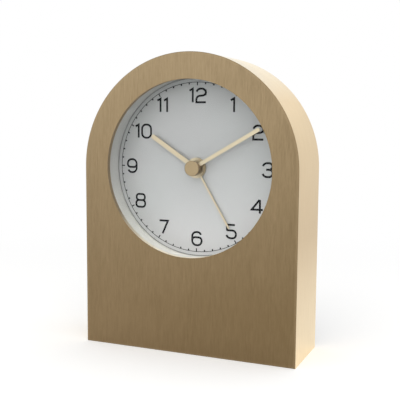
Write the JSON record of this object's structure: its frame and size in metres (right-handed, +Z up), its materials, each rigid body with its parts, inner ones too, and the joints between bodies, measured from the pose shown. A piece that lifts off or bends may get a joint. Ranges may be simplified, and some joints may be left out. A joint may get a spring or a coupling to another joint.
{
  "type": "arch-topped mantel alarm clock",
  "caption": "Upright gold mantel alarm clock with a round-topped metal case, round glazed dial, baton hands, a geared quartz movement, rear setting knobs, alarm switch and battery door.",
  "frame": {"origin": "middle of the base, halfway between the front face and the back edge", "axes": "+Z up, +Y from the dial's front to the back, +X to the right as the dial is read"},
  "size_m": [0.114, 0.038, 0.15],
  "materials": {
    "case_gold": "brushed gold anodising",
    "band_gold": "smooth satin gold anodising",
    "lens": "clear",
    "ring_grey": "satin light grey",
    "dial_silver": "fine satin silver with black print",
    "hand_gold": "satin gold",
    "gear_white": "moulded",
    "shell_white": "moulded, light texture",
    "spring_steel": "bright",
    "stator_iron": "stamped",
    "magnet": "sintered, dark",
    "copper_wire": "enamelled wire",
    "board_green": "solder mask",
    "resin_black": "potted",
    "back_black": "fine moulded texture",
    "knob_black": "satin",
    "cell": "printed sleeve, plain",
    "buzzer_brass": "pressed disc and can"
  },
  "bodies": {
    "case": {"front_panel": "case_gold", "case_band": "band_gold", "lens": "lens", "dial_frame": "ring_grey", "dial_plate": "dial_silver", "stud_clips": "spring_steel", "stator": "stator_iron", "coil": "copper_wire", "middle_plate": "shell_white", "movement_base": "shell_white", "movement_cover": "shell_white", "circuit_board": "board_green", "control_chip": "resin_black", "quartz_crystal": "spring_steel", "alarm_contact": "spring_steel", "buzzer": "buzzer_brass", "battery": "cell", "contact_positive": "spring_steel", "contact_negative": "spring_steel", "back_cover": "back_black", "case_screws": "spring_steel", "movement_screws": "spring_steel"},
    "time_setting": {"motion_wheel": "gear_white", "time_knob": "knob_black"},
    "minute": {"cannon_pinion": "gear_white", "minute_hand": "hand_gold", "hand_cap": "hand_gold", "clutch_spring": "spring_steel"},
    "hour": {"hour_wheel": "gear_white", "hour_hand": "hand_gold"},
    "alarm_setting": {"alarm_pinion": "gear_white", "alarm_knob": "knob_black"},
    "alarm": {"alarm_wheel": "gear_white", "alarm_hand": "hand_gold"},
    "centre": {"centre_wheel": "gear_white"},
    "third": {"third_wheel": "gear_white"},
    "fourth": {"fourth_wheel": "gear_white"},
    "fifth": {"fifth_wheel": "gear_white"},
    "motor": {"rotor": "magnet"},
    "switch": {"alarm_switch": "knob_black"},
    "door": {"battery_door": "back_black"}
  },
  "joints": [
    {"name": "time_setting_turn", "type": "hinge", "parent": "case", "child": "time_setting", "pos_m": [0.00902, 0, 0.08972], "axis": [0, 1, 0], "continuous": true},
    {"name": "minute_hand_turn", "type": "hinge", "parent": "case", "child": "minute", "pos_m": [0, 0, 0.093], "axis": [0, 1, 0], "continuous": true},
    {"name": "hour_hand_turn", "type": "hinge", "parent": "case", "child": "hour", "pos_m": [0, 0, 0.093], "axis": [0, 1, 0], "continuous": true},
    {"name": "alarm_setting_turn", "type": "hinge", "parent": "case", "child": "alarm_setting", "pos_m": [-0.00902, 0, 0.08972], "axis": [0, 1, 0], "continuous": true},
    {"name": "alarm_hand_turn", "type": "hinge", "parent": "case", "child": "alarm", "pos_m": [0, 0, 0.093], "axis": [0, 1, 0], "continuous": true},
    {"name": "fourth_wheel_turn", "type": "hinge", "parent": "case", "child": "fourth", "pos_m": [-0.0019, 0, 0.10535], "axis": [0, 1, 0], "continuous": true},
    {"name": "third_wheel_turn", "type": "hinge", "parent": "case", "child": "third", "pos_m": [-0.00573, 0, 0.09873], "axis": [0, 1, 0], "continuous": true},
    {"name": "centre_wheel_turn", "type": "hinge", "parent": "case", "child": "centre", "pos_m": [0, 0, 0.093], "axis": [0, 1, 0], "continuous": true},
    {"name": "fifth_wheel_turn", "type": "hinge", "parent": "case", "child": "fifth", "pos_m": [0.0044, 0, 0.10535], "axis": [0, 1, 0], "continuous": true},
    {"name": "rotor_turn", "type": "hinge", "parent": "case", "child": "motor", "pos_m": [0.00947, 0, 0.10351], "axis": [0, 1, 0], "continuous": true},
    {"name": "alarm_switch_slide", "type": "slide", "parent": "case", "child": "switch", "axis": [0, 0, 1], "range_m": [0, 0.004]},
    {"name": "battery_door_swing", "type": "hinge", "parent": "case", "child": "door", "pos_m": [0, 0.0137, 0.0781], "axis": [1, 0, 0], "range_deg": [0, 100]}
  ],
  "couplings": [
    {"joint": "minute_hand_turn", "follows": "time_setting_turn", "ratio": -3},
    {"joint": "hour_hand_turn", "follows": "time_setting_turn", "ratio": -0.25},
    {"joint": "alarm_hand_turn", "follows": "alarm_setting_turn", "ratio": -0.33333},
    {"joint": "third_wheel_turn", "follows": "fourth_wheel_turn", "ratio": -0.13333},
    {"joint": "centre_wheel_turn", "follows": "fourth_wheel_turn", "ratio": 0.016667},
    {"joint": "fifth_wheel_turn", "follows": "fourth_wheel_turn", "ratio": -6},
    {"joint": "rotor_turn", "follows": "fourth_wheel_turn", "ratio": 30}
  ]
}
